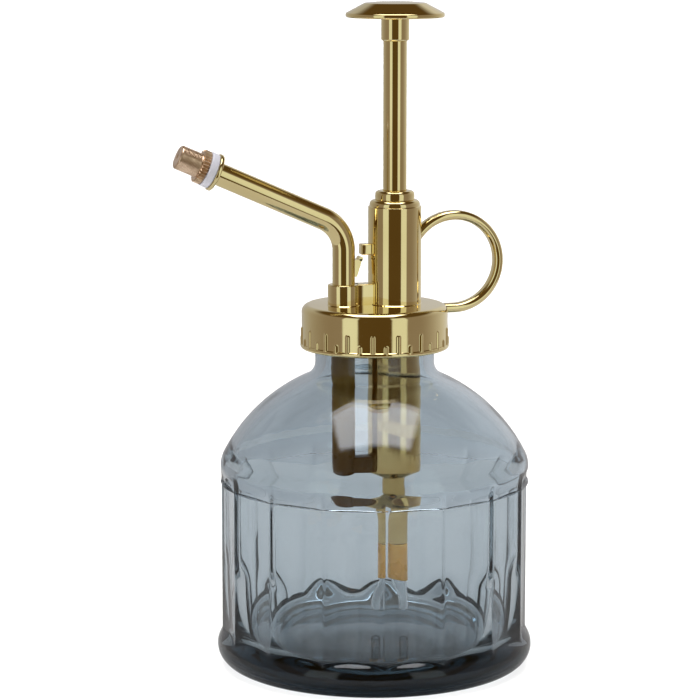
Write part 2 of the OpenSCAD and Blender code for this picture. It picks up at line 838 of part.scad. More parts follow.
module swirl_insert() {
    color(white)
    along_spout()
    difference() {
        bar(swirl_d / 2, swirl_u, chamber_end - seat_gap - swirl_u);
        for (a = [0, 120, 240])
            rotate([0, 0, a])
            translate([swirl_d / 2 - swirl_groove_w / 2, -swirl_groove_w / 2, swirl_u - cut])
            cube([swirl_groove_w, swirl_groove_w, nose_l]);
    }
}

glass_bottle();
neck_gasket();
screw_cap();
pump_barrel();
finger_ring();
gland_nut();
rod_seal();
plunger_rod();
thumb_knob();
piston();
piston_seal();
return_spring();
pump_cylinder();
valve_cage();
inlet_ball();
riser_plug();
outlet_ball();
tube_connector();
dip_tube();
spout_tube();
spout_seal();
nozzle_washer();
nozzle_tip();
swirl_insert();
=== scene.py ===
import json
import math

import bmesh
import bpy
from mathutils import Matrix, Vector

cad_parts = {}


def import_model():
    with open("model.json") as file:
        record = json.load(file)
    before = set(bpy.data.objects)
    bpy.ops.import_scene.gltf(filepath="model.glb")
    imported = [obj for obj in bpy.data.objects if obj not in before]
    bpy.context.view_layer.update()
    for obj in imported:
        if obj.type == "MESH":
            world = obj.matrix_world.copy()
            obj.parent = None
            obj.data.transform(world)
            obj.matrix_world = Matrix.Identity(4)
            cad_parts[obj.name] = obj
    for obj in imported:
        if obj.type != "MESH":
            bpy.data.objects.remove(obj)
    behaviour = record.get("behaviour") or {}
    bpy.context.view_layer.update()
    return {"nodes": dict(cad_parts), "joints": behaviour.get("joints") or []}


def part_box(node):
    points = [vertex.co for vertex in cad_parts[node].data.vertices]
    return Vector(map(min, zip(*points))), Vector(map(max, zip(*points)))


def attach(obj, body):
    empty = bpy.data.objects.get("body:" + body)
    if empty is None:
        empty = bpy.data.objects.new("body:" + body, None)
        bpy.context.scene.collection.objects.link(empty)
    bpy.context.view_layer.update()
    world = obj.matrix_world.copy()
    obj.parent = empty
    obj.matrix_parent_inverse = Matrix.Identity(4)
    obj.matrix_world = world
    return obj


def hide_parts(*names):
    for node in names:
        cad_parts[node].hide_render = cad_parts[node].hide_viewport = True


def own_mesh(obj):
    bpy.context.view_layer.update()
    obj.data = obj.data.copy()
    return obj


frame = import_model()
scene = bpy.context.scene
joints = {j["name"]: j for j in frame["joints"]}

# Sizes of the object are millimetres and degrees; meshes are scaled to metres when they are made
MM = 0.001
ROUND_STEPS = 96
TINY = 1e-6


def box_mm(name):
    """Lowest and highest corner of a CAD node, in millimetres."""
    lo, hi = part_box(name)
    return lo / MM, hi / MM


# Places that the frame gives
bottle_hi = box_mm("glass_bottle")[1]
cap_lo, cap_hi = box_mm("screw_cap")
gland_lo, gland_hi = box_mm("gland_nut")
barrel_hi = box_mm("pump_barrel")[1]
rod_lo, rod_hi = box_mm("plunger_rod")
knob_lo, knob_hi = box_mm("thumb_knob")
ring_lo, ring_hi = box_mm("finger_ring")
cylinder_lo, cylinder_hi = box_mm("pump_cylinder")
plug_lo, plug_hi = box_mm("riser_plug")
connector_lo, connector_hi = box_mm("tube_connector")
tube_lo, tube_hi = box_mm("dip_tube")
spring_lo, spring_hi = box_mm("return_spring")
spout_lo = box_mm("spout_tube")[0]
gasket_hi = box_mm("neck_gasket")[1]

BARREL_X = (gland_lo.x + gland_hi.x) / 2
SPOUT_X = (plug_lo.x + plug_hi.x) / 2
TOP_Z = cap_hi.z
PLATE_Z = gasket_hi.z
RIM_Z = bottle_hi.z
BARREL_TOP = barrel_hi.z
SPOUT_CORNER = Vector(joints["nozzle_turn"]["pos_m"]) / MM
SPOUT_AXIS = Vector(joints["nozzle_turn"]["axis"])
SPOUT_TURN = SPOUT_AXIS.to_track_quat("Z", "Y")
SPOUT_FRAME = Matrix.Translation(SPOUT_CORNER) @ SPOUT_TURN.to_matrix().to_4x4()

# Sizes that several pieces share
BARREL_R = barrel_hi.x - BARREL_X
BARREL_WALL = 1.0
LINER_R = BARREL_R - BARREL_WALL
GLAND_SHANK_R = 4.2
SPOUT_R = 2.85
CATCH_Z = 12.6
RUN_GAP = 0.05

# Rounds of small edges
EDGE_CRISP = 0.1
EDGE_FINE = 0.15
EDGE_SMALL = 0.2
EDGE_MILD = 0.25
EDGE_PLAIN = 0.3
EDGE_SOFT = 0.35
EDGE_FULL = 0.5
EDGE_BROAD = 0.6


# Shapes: a shape is a list of points and a list of faces

def arc(r, z, radius, start, end, steps):
    """Points of an arc in the plane of radius and height, angles in degrees."""
    turns = [math.radians(start + (end - start) * i / steps) for i in range(steps + 1)]
    return [(r + radius * math.cos(t), z + radius * math.sin(t)) for t in turns]


def circle(radius, steps, middle=(0, 0)):
    """Points of a full circle."""
    return arc(*middle, radius, 0, 360 * (steps - 1) / steps, steps - 1)


def upright(r, start, end, rows):
    """Points at one radius, from one height to another."""
    return [(r, start + (end - start) * i / rows) for i in range(rows + 1)]


def soften(corners, steps=5):
    """A closed outline from (r, z, fillet) corners, each corner rounded by its fillet."""
    outline = []
    for i, (r, z, fillet) in enumerate(corners):
        here = Vector((r, z))
        if fillet == 0:
            outline.append((r, z))
            continue
        back = Vector(corners[i - 1][:2]) - here
        ahead = Vector(corners[(i + 1) % len(corners)][:2]) - here
        half = back.angle(ahead) / 2
        reach = fillet / math.tan(half)
        start = here + back.normalized() * reach
        centre = here + (back.normalized() + ahead.normalized()).normalized() * fillet / math.sin(half)
        first = start - centre
        turned = first.angle_signed(here + ahead.normalized() * reach - centre)
        for k in range(steps + 1):
            turn = Matrix.Rotation(-turned * k / steps, 2)
            outline.append(tuple(centre + turn @ first))
    return outline


def grid(rings, closed):
    """Faces between rings of point numbers; a ring of one point is a pole."""
    faces = []
    steps = max(len(ring) for ring in rings)
    pairs = list(zip(rings, rings[1:]))
    if closed:
        pairs.append((rings[-1], rings[0]))
    for low, high in pairs:
        for i in range(steps):
            j = (i + 1) % steps
            corners = [low[i % len(low)], low[j % len(low)], high[j % len(high)], high[i % len(high)]]
            face = list(dict.fromkeys(corners))
            if len(face) > 2:
                faces.append(face)
    return faces


def revolve(outline, steps=ROUND_STEPS, closed=True):
    """A shape turned round the vertical axis."""
    points, rings = [], []
    for r, z in outline:
        count = 1 if r < TINY else steps
        rings.append(range(len(points), len(points) + count))
        for i in range(count):
            turn = 2 * math.pi * i / steps
            points.append((r * math.cos(turn), r * math.sin(turn), z))
    return points, grid(rings, closed)


def sweep(path, section):
    """A closed section carried along a path of (point, across, up) stations, with flat ends."""
    points, rings = [], []
    for place, across, up in path:
        rings.append(range(len(points), len(points) + len(section)))
        points += [place + across * u + up * v for u, v in section]
    faces = grid(rings, False)
    faces.append(list(rings[0])[::-1])
    faces.append(list(rings[-1]))
    return points, faces


def block(lo, hi, bevel):
    """A box between two corners with rounded edges."""
    bm = bmesh.new()
    bmesh.ops.create_cube(bm, size=1)
    size = Vector(hi) - Vector(lo)
    middle = (Vector(hi) + Vector(lo)) / 2
    bmesh.ops.transform(bm, matrix=Matrix.Translation(middle) @ Matrix.Diagonal((*size, 1)), verts=bm.verts)
    bmesh.ops.bevel(bm, geom=bm.edges[:], offset=bevel, segments=4, profile=0.5, affect="EDGES")
    bm.verts.index_update()
    shape = [tuple(v.co) for v in bm.verts], [[v.index for v in f.verts] for f in bm.faces]
    bm.free()
    return shape


def moved(shape, matrix):
    points, faces = shape
    return [matrix @ Vector(p) for p in points], faces


def at_barrel(shape):
    return moved(shape, Matrix.Translation((BARREL_X, 0, 0)))


def at_spout(shape):
    return moved(shape, Matrix.Translation((SPOUT_X, 0, 0)))


def along_spout(shape):
    """A shape whose height runs along the spout, from the corner of its bend."""
    return moved(shape, SPOUT_FRAME)


def piece(name, body, material, shapes, replaces, sharp=38):
    """One object made of shapes, which rides on a body and stands for CAD nodes."""
    points, faces = [], []
    for shape_points, shape_faces in shapes:
        first = len(points)
        points += [Vector(p) * MM for p in shape_points]
        faces += [[first + i for i in face] for face in shape_faces]
    mesh = bpy.data.meshes.new(name)
    mesh.from_pydata(points, [], faces)
    bm = bmesh.new()
    bm.from_mesh(mesh)
    bmesh.ops.recalc_face_normals(bm, faces=bm.faces)
    bm.to_mesh(mesh)
    bm.free()
    mesh.shade_smooth()
    mesh.set_sharp_from_angle(angle=math.radians(sharp))
    mesh.materials.append(material)
    obj = bpy.data.objects.new(name, mesh)
    scene.collection.objects.link(obj)
    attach(obj, body)
    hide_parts(*replaces)
    return obj


# Materials: lengths are metres here, and a noise's scale is its grains per metre
NOISE_LOW = 0.35
NOISE_HIGH = 0.65
GLOSS_SPREAD = 0.06
GLASS_TINT = (0.35, 0.46, 0.515)
GLASS_DENSITY = 100
# Heights in metres between which painted shade darkens the riser towards its foot, and how far the mottle
# moves that edge
RISER_SHADE_Z = 0.056
RISER_SHADE_END_Z = 0.076
RISER_UNEVEN = 0.008


def new_material(name):
    """A material with its node tree and its Principled shader."""
    material = bpy.data.materials.new(name)
    material.use_nodes = True
    return material, material.node_tree, material.node_tree.nodes["Principled BSDF"]


def feed(tree, socket, value):
    """Links a socket to another one, or sets it to any other value."""
    if isinstance(value, bpy.types.NodeSocket):
        tree.links.new(value, socket)
    else:
        socket.default_value = value


def node(tree, kind, **settings):
    """A new node whose sockets or properties take the settings."""
    made = tree.nodes.new(kind)
    for key, value in settings.items():
        if key in made.inputs:
            feed(tree, made.inputs[key], value)
        else:
            setattr(made, key, value)
    return made


def calc(tree, operation, *values):
    """The result of an operation on numbers or sockets."""
    made = node(tree, "ShaderNodeMath", operation=operation)
    for socket, value in zip(made.inputs, values):
        feed(tree, socket, value)
    return made.outputs["Value"]


def own_place(tree):
    """The object's own coordinates."""
    return node(tree, "ShaderNodeTexCoord").outputs["Object"]


def noise(tree, scale, detail=3.0, stretch=(1, 1, 1)):
    """Noise over the object's own coordinates."""
    mapped = node(tree, "ShaderNodeMapping", Vector=own_place(tree), Scale=stretch).outputs["Vector"]
    return node(tree, "ShaderNodeTexNoise", Vector=mapped, Scale=scale, Detail=detail).outputs["Fac"]


def spread(tree, value, low, high, start=NOISE_LOW, end=NOISE_HIGH):
    """A value mapped from one range, by default the middle of the noise, to another."""
    settings = {"Value": value, "From Min": start, "From Max": end, "To Min": low, "To Max": high}
    return node(tree, "ShaderNodeMapRange", **settings).outputs["Result"]


def blend_colours(tree, value, low, high):
    """A colour between two colours, by a value in the middle of the noise."""
    ramp = node(tree, "ShaderNodeValToRGB", Fac=value)
    ends = ((NOISE_LOW, low), (NOISE_HIGH, high))
    for element, (position, colour) in zip(ramp.color_ramp.elements, ends):
        element.position = position
        element.color = (*colour, 1)
    return ramp.outputs["Color"]


def bump(tree, height, strength, distance):
    settings = {"Height": height, "Strength": strength, "Distance": distance}
    return node(tree, "ShaderNodeBump", **settings).outputs["Normal"]


def finish_shader(tree, shader, **inputs):
    """Sets or links the shader's inputs; words joined by _ name a socket."""
    for key, value in inputs.items():
        feed(tree, shader.inputs[key.replace("_", " ")], value)


def gold_plate():
    """Mirror-bright plating on moulded plastic, with a faint orange peel."""
    material, tree, shader = new_material("gold_plate")
    colour = blend_colours(tree, noise(tree, scale=60), low=(0.80, 0.66, 0.33), high=(0.85, 0.72, 0.38))
    roughness = spread(tree, noise(tree, scale=350), low=0.035, high=0.075)
    peel = bump(tree, noise(tree, scale=700, detail=2), strength=0.05, distance=0.00003)
    finish_shader(tree, shader, Base_Color=colour, Metallic=1.0, Roughness=roughness, Normal=peel)
    return material


def inner_gold():
    """The browner gold lacquer of the pump inside the bottle."""
    material, tree, shader = new_material("inner_gold")
    colour = blend_colours(tree, noise(tree, scale=90), low=(0.66, 0.44, 0.17), high=(0.74, 0.54, 0.24))
    roughness = spread(tree, noise(tree, scale=300), low=0.07, high=0.14)
    peel = bump(tree, noise(tree, scale=500, detail=2), strength=0.08, distance=0.00005)
    finish_shader(tree, shader, Base_Color=colour, Metallic=1.0, Roughness=roughness, Normal=peel)
    return material


def brass():
    """Bare turned brass, with fine rings round the spout's axis and a little tarnish."""
    material, tree, shader = new_material("brass")
    lay = node(
        tree, "ShaderNodeMapping", Vector=own_place(tree), vector_type="TEXTURE",
        Rotation=SPOUT_TURN.to_euler(),
    ).outputs["Vector"]
    settings = {"Vector": lay, "Scale": 900, "Distortion": 0.6, "Detail": 2.0}
    rings = node(tree, "ShaderNodeTexWave", bands_direction="Z", **settings).outputs["Fac"]
    tarnish = noise(tree, scale=400, detail=5)
    finish_shader(
        tree, shader, Metallic=1.0,
        Base_Color=blend_colours(tree, tarnish, low=(0.60, 0.42, 0.27), high=(0.93, 0.70, 0.50)),
        Roughness=spread(tree, tarnish, low=0.36, high=0.24),
        Normal=bump(tree, rings, strength=0.25, distance=0.00005),
    )
    return material


def smoke_glass():
    """Thick pressed glass, tinted through its depth, with the soft waves of its mould."""
    material, tree, shader = new_material("smoke_glass")
    waves = noise(tree, scale=55, detail=2, stretch=(1, 1, 0.5))
    finish_shader(
        tree, shader, Base_Color=(0.90, 0.96, 1, 1), Transmission_Weight=1.0, IOR=1.5,
        Roughness=spread(tree, noise(tree, scale=220), low=0.0, high=0.012),
        Normal=bump(tree, waves, strength=0.12, distance=0.0015),
    )
    depth = node(tree, "ShaderNodeVolumeAbsorption", Color=(*GLASS_TINT, 1), Density=GLASS_DENSITY)
    tree.links.new(depth.outputs["Volume"], tree.nodes["Material Output"].inputs["Volume"])
    return material


def mottle(tree):
    """Uneven spots of moulded plastic."""
    return noise(tree, scale=180, detail=4)


def moulded_grain(tree, strength):
    """Fine grain that a mould leaves."""
    return bump(tree, noise(tree, scale=1600), strength, distance=0.0001)


def plastic(name, low, high, gloss, grain, **more):
    """Moulded plastic or rubber: two near colours, uneven gloss and a fine grain."""
    material, tree, shader = new_material(name)
    spots = mottle(tree)
    finish_shader(
        tree, shader, Base_Color=blend_colours(tree, spots, low, high),
        Roughness=spread(tree, spots, gloss - GLOSS_SPREAD, gloss + GLOSS_SPREAD),
        Normal=moulded_grain(tree, grain), **more,
    )
    return material


def riser_brown_painted_shade():
    """Brown moulded plastic of the outlet riser, with painted shade that darkens it towards its foot, and
    golden towards the cap.
    """
    material, tree, shader = new_material("brown_plastic_painted_shade")
    spots = mottle(tree)
    # Painted shade: the riser and its bridge turn dark towards the foot, with an uneven edge from the
    # mottle
    height = node(tree, "ShaderNodeSeparateXYZ", Vector=own_place(tree)).outputs["Z"]
    uneven = calc(tree, "MULTIPLY_ADD", spots, RISER_UNEVEN, height)
    share = spread(tree, uneven, NOISE_LOW, NOISE_HIGH, RISER_SHADE_Z, RISER_SHADE_END_Z)
    finish_shader(
        tree, shader, Specular_IOR_Level=0.2,
        Base_Color=blend_colours(tree, share, low=(0.13, 0.065, 0.022), high=(0.36, 0.19, 0.028)),
        Roughness=spread(tree, spots, low=0.24, high=0.36), Normal=moulded_grain(tree, strength=0.05),
    )
    return material


def steel():
    """Bright drawn wire, with fine lines along it."""
    material, tree, shader = new_material("steel")
    lines = noise(tree, scale=900, stretch=(1, 1, 6))
    finish_shader(
        tree, shader, Metallic=1.0,
        Base_Color=blend_colours(tree, lines, low=(0.58, 0.59, 0.61), high=(0.76, 0.77, 0.79)),
        Roughness=spread(tree, lines, low=0.16, high=0.3),
        Normal=bump(tree, lines, strength=0.15, distance=0.00005),
    )
    return material


GOLD = gold_plate()
INNER_GOLD = inner_gold()
BRASS = brass()
GLASS = smoke_glass()
STEEL = steel()
WHITE = plastic(
    "white_plastic", low=(0.80, 0.79, 0.84), high=(0.88, 0.87, 0.92), gloss=0.38, grain=0.12,
)
WASHER = plastic(
    "washer_plastic", low=(0.47, 0.47, 0.52), high=(0.53, 0.53, 0.58), gloss=0.4, grain=0.12,
)
RUBBER = plastic(
    "rubber", low=(0.018, 0.018, 0.02), high=(0.035, 0.035, 0.038), gloss=0.62, grain=0.3,
)
AMBER = plastic(
    "amber_plastic", low=(0.92, 0.46, 0.09), high=(0.96, 0.56, 0.15), gloss=0.3, grain=0.06,
    Transmission_Weight=0.1,
)
BROWN = riser_brown_painted_shade()
CLEAR = plastic(
    "clear_plastic", low=(0.86, 0.90, 0.93), high=(0.94, 0.96, 0.98), gloss=0.16, grain=0.05,
    Transmission_Weight=0.9,
)

# Bottle
PANELS = 16
PANEL_STEPS = 24
PANEL_INSET = 1.15
PANEL_SAG = 0.4
PANEL_TURN = -1.5
RIDGE_SOFTNESS = 0.25
WALL = 2.2
WALL_ROWS = 24
INNER_FOLLOW = 0.75
FOLLOW_FADE = 5.0
FLOOR_Z = 8.0
BOWL_W = 3.0
BOWL_H = 17.0
BOWL_ROWS = 32
KICK_R = 30.0
KICK_H = 3.2
FOOT_BEAD_R = 4.9
BEAD_SOFTNESS = 0.5
LIP_INSET = 1.0
LIP_ROUND = 6.0
LIP_DROP = 4.2
LIP_ROWS = 20
LIP_INSIDE_R = 10.0
DOME_T = 2.2
DOME_H = 23.6
NECK_R = 15.0
NECK_BORE_R = 12.3
NECK_H = 13.8
NECK_FILLET = 4.0
RIM_ROUND = 0.9
SHOULDER_Z = RIM_Z - NECK_H
LIP_Z = SHOULDER_Z - DOME_H
LIP_R = bottle_hi.x - LIP_INSET
LIP_C = LIP_R - LIP_ROUND


def smooth_max(a, b, softness):
    """The larger of two values, with a soft change from one to the other."""
    blend = max(softness - abs(a - b), 0) / softness
    return max(a, b) + blend * blend * softness / 4


def smooth_step(share):
    """A share from 0 to 1, eased at both ends."""
    return share * share * (3 - 2 * share)


def panel_r(turn):
    """Distance from the axis to the panels, in a direction: slightly hollow, with softened ridges."""
    step = 2 * math.pi / PANELS
    ridge = bottle_hi.x - PANEL_INSET
    apothem = ridge * math.cos(step / 2)
    off = abs((turn + step / 2) % step - step / 2)

    def flat(angle):
        return apothem / math.cos(angle) - PANEL_SAG * (1 - (2 * angle / step) ** 2)

    return -smooth_max(-flat(off), -flat(step - off), RIDGE_SOFTNESS)


def dome():
    """Centre height and radius of the sphere that runs on from the lip's round to the neck."""
    low, high = 0.0, LIP_Z
    while high - low > TINY:
        z = (low + high) / 2
        if math.hypot(NECK_R, SHOULDER_Z - z) > math.hypot(LIP_C, LIP_Z - z) + LIP_ROUND:
            low = z
        else:
            high = z
    return z, math.hypot(NECK_R, SHOULDER_Z - z)


def neck_fillet(neck_r, fillet, dome_z, dome_r):
    """Centre of the round between a neck and a dome, and the angle where it touches the dome."""
    centre = neck_r + fillet
    z = dome_z + math.sqrt((dome_r + fillet) ** 2 - centre ** 2)
    return centre, z, math.degrees(math.atan2(z - dome_z, centre))


def bottle_outside():
    """Outline of the outside, foot to rim, without the panels and the step from them to the lip."""
    bead_c = bottle_hi.x - FOOT_BEAD_R
    wall_high = LIP_Z - LIP_DROP
    dome_z, dome_r = dome()
    fillet_c, fillet_z, touch = neck_fillet(NECK_R, NECK_FILLET, dome_z, dome_r)
    lip_turn = math.degrees(math.atan2(LIP_Z - dome_z, LIP_C))
    kick_r = (KICK_R ** 2 + KICK_H ** 2) / (2 * KICK_H)
    kick_turn = math.degrees(math.asin(KICK_R / kick_r))
    outline = [(0, KICK_H)]
    outline += arc(0, KICK_H - kick_r, kick_r, 90, 90 - kick_turn, steps=32)[1:]
    outline += arc(bead_c, FOOT_BEAD_R, FOOT_BEAD_R, -90, 90, steps=60)
    outline += upright(bead_c, 2 * FOOT_BEAD_R, wall_high, WALL_ROWS)[1:]
    outline += upright(LIP_R, wall_high, LIP_Z, LIP_ROWS)[:-1]
    outline += arc(LIP_C, LIP_Z, LIP_ROUND, 0, lip_turn, steps=24)
    outline += arc(0, dome_z, dome_r, lip_turn, touch, steps=60)[1:]
    outline += arc(fillet_c, fillet_z, NECK_FILLET, touch - 180, -180, steps=12)[1:]
    outline += arc(NECK_R - RIM_ROUND, RIM_Z - RIM_ROUND, RIM_ROUND, 0, 90, steps=6)
    return outline


def bottle_inside():
    """Outline of the inside, rim to floor, before its wall follows the panels."""
    dome_z, dome_r = dome()
    inner_r = (bottle_hi.x - PANEL_INSET) * math.cos(math.pi / PANELS) - WALL
    fillet = NECK_FILLET + NECK_R - NECK_BORE_R
    inner_dome = dome_r - DOME_T
    fillet_c, fillet_z, touch = neck_fillet(NECK_BORE_R, fillet, dome_z, inner_dome)
    round_c = inner_r - LIP_INSIDE_R
    round_turn = math.degrees(math.acos(round_c / (inner_dome - LIP_INSIDE_R)))
    round_z = dome_z + (inner_dome - LIP_INSIDE_R) * math.sin(math.radians(round_turn))
    outline = arc(NECK_BORE_R + RIM_ROUND, RIM_Z - RIM_ROUND, RIM_ROUND, 90, 180, steps=6)
    outline += arc(fillet_c, fillet_z, fillet, -180, touch - 180, steps=16)
    outline += arc(0, dome_z, inner_dome, touch, round_turn, steps=48)[1:]
    outline += arc(round_c, round_z, LIP_INSIDE_R, round_turn, 0, steps=24)[1:]
    outline += upright(inner_r, round_z, FLOOR_Z + BOWL_H, WALL_ROWS)[1:-1]
    for i in range(BOWL_ROWS + 1):
        turn = math.pi / 2 * i / BOWL_ROWS
        outline.append((inner_r - BOWL_W * (1 - math.cos(turn)), FLOOR_Z + BOWL_H * (1 - math.sin(turn))))
    outline.append((0, FLOOR_Z))
    return outline


def inner_follow(z):
    """How far the inside follows the panels at a height; it fades out at the bowl and at the lip."""
    above, below = z - FLOOR_Z - BOWL_H, LIP_Z - z
    return INNER_FOLLOW * min(max(min(above, below) / FOLLOW_FADE, 0), 1)


def bottle_shape():
    """The bottle: turned outlines, with panels blended into the outside between bead and lip."""
    turns = []
    for panel in range(PANELS):
        for i in range(PANEL_STEPS):
            across = math.sin(math.pi / 2 * (2 * i / PANEL_STEPS - 1))
            turns.append((panel + across / 2) * 2 * math.pi / PANELS)
    lead = math.radians(PANEL_TURN)
    outside, inside = bottle_outside(), bottle_inside()
    points, rings = [], []
    for row, (r, z) in enumerate(outside + inside):
        if r == 0:
            rings.append([len(points)])
            points.append((0, 0, z))
            continue
        rings.append(range(len(points), len(points) + len(turns)))
        panelled = row < len(outside) and FOOT_BEAD_R < z < LIP_Z
        follow = inner_follow(z) if row >= len(outside) else 0
        for turn in turns:
            reach = r
            if panelled and z > LIP_Z - LIP_DROP:
                reach = LIP_R - (LIP_R - panel_r(turn)) * smooth_step((LIP_Z - z) / LIP_DROP)
            elif panelled:
                reach = smooth_max(r, panel_r(turn), BEAD_SOFTNESS)
            elif follow > 0:
                reach = r + follow * (panel_r(turn) - panel_r(0))
            points.append((reach * math.cos(turn + lead), reach * math.sin(turn + lead), z))
    return points, grid(rings, False)


bottle = piece("bottle_glass", "bottle", GLASS, [bottle_shape()], ["glass_bottle"], sharp=60)
# Light falls through the glass on to what stands in it
bottle.visible_shadow = False

# Cap
CAP_WALL = 1.8
CAP_EDGE_R = 1.8
CAP_LIP_H = 1.4
SKIRT_ROWS = 44
RIBS = 36
RIB_STEPS = 20
RIB_PROUD = 0.35
RIB_FULLNESS = 0.7
RIB_W = 1.0
RIB_LONG = 4.9
RIB_SHORT = 2.3
RIB_TURN = 7.3
CAP_R = (cap_hi.y - cap_lo.y) / 2 - RIB_PROUD


def rib_height(turn, z):
    """How far a grip rib stands out of the skirt at a direction and height."""
    step = 2 * math.pi / RIBS
    turn = (turn - math.radians(RIB_TURN)) % (2 * math.pi)
    number = int(turn / step) % RIBS
    across = (turn - (number + 0.5) * step) * CAP_R
    low = cap_lo.z + CAP_LIP_H / 2
    end = low + (RIB_LONG if number % 2 == 0 else RIB_SHORT) - RIB_W / 2
    past = max(z - end, 0)
    share = math.hypot(across, past) / (RIB_W / 2)
    return RIB_PROUD * max(1 - share * share, 0) ** RIB_FULLNESS


def cap_shape():
    """The cap: a shell with long and short round ribs on its skirt and the pump's hole in its top."""
    columns = RIBS * RIB_STEPS
    lip_r = CAP_LIP_H / 2
    lip_c = CAP_R + RIB_PROUD - lip_r
    lip_join = math.degrees(math.acos((CAP_R - lip_c) / lip_r))
    skirt_low = cap_lo.z + lip_r + lip_r * math.sin(math.radians(lip_join))
    skirt_high = TOP_Z - CAP_EDGE_R
    outline = arc(lip_c, cap_lo.z + lip_r, lip_r, -90, lip_join, steps=12)
    outline += upright(CAP_R, skirt_low, skirt_high, SKIRT_ROWS)[1:-1]
    outline += arc(CAP_R - CAP_EDGE_R, skirt_high, CAP_EDGE_R, 0, 90, steps=12)
    outline += [(LINER_R, TOP_Z), (LINER_R, PLATE_Z)]
    outline += [(CAP_R - CAP_WALL, PLATE_Z), (CAP_R - CAP_WALL, cap_lo.z)]
    points, rings = [], []
    for r, z in outline:
        rings.append(range(len(points), len(points) + columns))
        ribbed = r >= CAP_R and z > cap_lo.z + lip_r
        middle = BARREL_X if r == LINER_R else 0
        for i in range(columns):
            turn = 2 * math.pi * i / columns
            reach = max(r, CAP_R + rib_height(turn, z)) if ribbed else r
            points.append((middle + reach * math.cos(turn), reach * math.sin(turn), z))
    return points, grid(rings, True)


piece("cap_shell", "pump_head", GOLD, [cap_shape()], ["screw_cap"], sharp=50)

# Barrel
BARREL_EDGE_R = 1.2
BARREL_STEP = 0.35
BARREL_STEP_H = 1.7
BARREL_TOP_T = 2.2
FOOT_EDGE = 0.18
SOCKET_R = 4.0
SOCKET_H = 5.3
WEB_T = 4.6
WEB_ROOT = 1.0
CATCH_L = 2.3
CATCH_W = 3.0
CATCH_H = 2.7


def barrel_shapes():
    """Tower with a rounded top, the spout's socket, the web between them and the spout's catch."""
    step_z = BARREL_TOP - BARREL_STEP_H
    tower = revolve(soften([
        (LINER_R, TOP_Z, 0), (BARREL_R + FOOT_EDGE, TOP_Z, 0), (BARREL_R, TOP_Z + FOOT_EDGE, 0),
        (BARREL_R, step_z, BARREL_STEP / 2), (BARREL_R - BARREL_STEP, step_z + BARREL_STEP / 2, 0),
        (BARREL_R - BARREL_STEP, BARREL_TOP, BARREL_EDGE_R), (GLAND_SHANK_R, BARREL_TOP, EDGE_FINE),
        (GLAND_SHANK_R, BARREL_TOP - BARREL_TOP_T, 0), (LINER_R, BARREL_TOP - BARREL_TOP_T, 0),
    ], steps=10), steps=128)
    socket = revolve(soften([
        (SPOUT_R, TOP_Z, 0), (SOCKET_R + FOOT_EDGE, TOP_Z, 0), (SOCKET_R, TOP_Z + FOOT_EDGE, 0),
        (SOCKET_R, TOP_Z + SOCKET_H, EDGE_SOFT), (SPOUT_R, TOP_Z + SOCKET_H, EDGE_FINE),
    ]))
    web = block(
        (SPOUT_X + SPOUT_R, -WEB_T / 2, TOP_Z - WEB_ROOT),
        (BARREL_X - LINER_R, WEB_T / 2, TOP_Z + SOCKET_H), EDGE_PLAIN,
    )
    catch = block(
        (BARREL_X - BARREL_R - CATCH_L, -CATCH_W / 2, TOP_Z + CATCH_Z),
        (BARREL_X - LINER_R, CATCH_W / 2, TOP_Z + CATCH_Z + CATCH_H), EDGE_PLAIN,
    )
    return [at_barrel(tower), at_spout(socket), web, catch]


piece("barrel_tower", "pump_head", GOLD, barrel_shapes(), ["pump_barrel"])

# Finger ring
RING_BAR_T = 2.4
RING_BAR_W = 3.6
RING_CORNER_R = 1.18
RING_SWEEP = 250
RING_STEPS = 96
RING_R = (ring_hi.z - ring_lo.z - RING_BAR_T) / 2
RING_X = ring_hi.x - RING_R - RING_BAR_T / 2
RING_Z = (ring_hi.z + ring_lo.z) / 2


def rounded_bar(thickness, width, corner, steps=6):
    """Section of a flat bar with rounded corners."""
    section = []
    for quarter, (u, v) in enumerate([(1, 1), (-1, 1), (-1, -1), (1, -1)]):
        middle = (u * (thickness / 2 - corner), v * (width / 2 - corner))
        section += arc(*middle, corner, 90 * quarter, 90 * quarter + 90, steps)
    return section


def ring_shape():
    """The ring's bar from inside the cap's shoulder, round, and into the barrel."""
    depth = Vector((0, 1, 0))
    foot = Vector((CAP_R - CAP_EDGE_R, 0, RING_Z - RING_R))
    path = [(foot, Vector((0, 0, -1)), depth)]
    for i in range(RING_STEPS + 1):
        turn = math.radians(-90 + RING_SWEEP * i / RING_STEPS)
        out = Vector((math.cos(turn), 0, math.sin(turn)))
        path.append((Vector((RING_X, 0, RING_Z)) + out * RING_R, out, depth))
    return sweep(path, rounded_bar(RING_BAR_T, RING_BAR_W, RING_CORNER_R))


piece("finger_loop", "pump_head", GOLD, [ring_shape()], ["finger_ring"])

# Gland, rod and knob
ROD_R = (rod_hi.x - rod_lo.x) / 2
ROD_SPIGOT_R = 2.0
ROD_SPIGOT_L = 6.8
GLAND_R = (gland_hi.x - gland_lo.x) / 2
GLAND_TOP_R = 1.0
KNOB_R = (knob_hi.x - knob_lo.x) / 2
KNOB_TOP = knob_hi.z
KNOB_Z = rod_hi.z
KNOB_RIM_H = 1.1
KNOB_SHOULDER_R = 1.2
KNOB_CROWN_R = 7.6
KNOB_CROWN_DROP = 0.3
KNOB_FLAT_SHARE = 0.55
KNOB_FLAT_ROUND = 6.0
COLLAR_R = 3.5


def gland_shape():
    hole = ROD_R + RUN_GAP
    return revolve(soften([
        (hole, gland_lo.z, 0), (GLAND_SHANK_R, gland_lo.z, 0), (GLAND_SHANK_R, BARREL_TOP, 0),
        (GLAND_R, BARREL_TOP, EDGE_CRISP), (GLAND_R, gland_hi.z, GLAND_TOP_R),
        (hole, gland_hi.z, EDGE_MILD),
    ]))


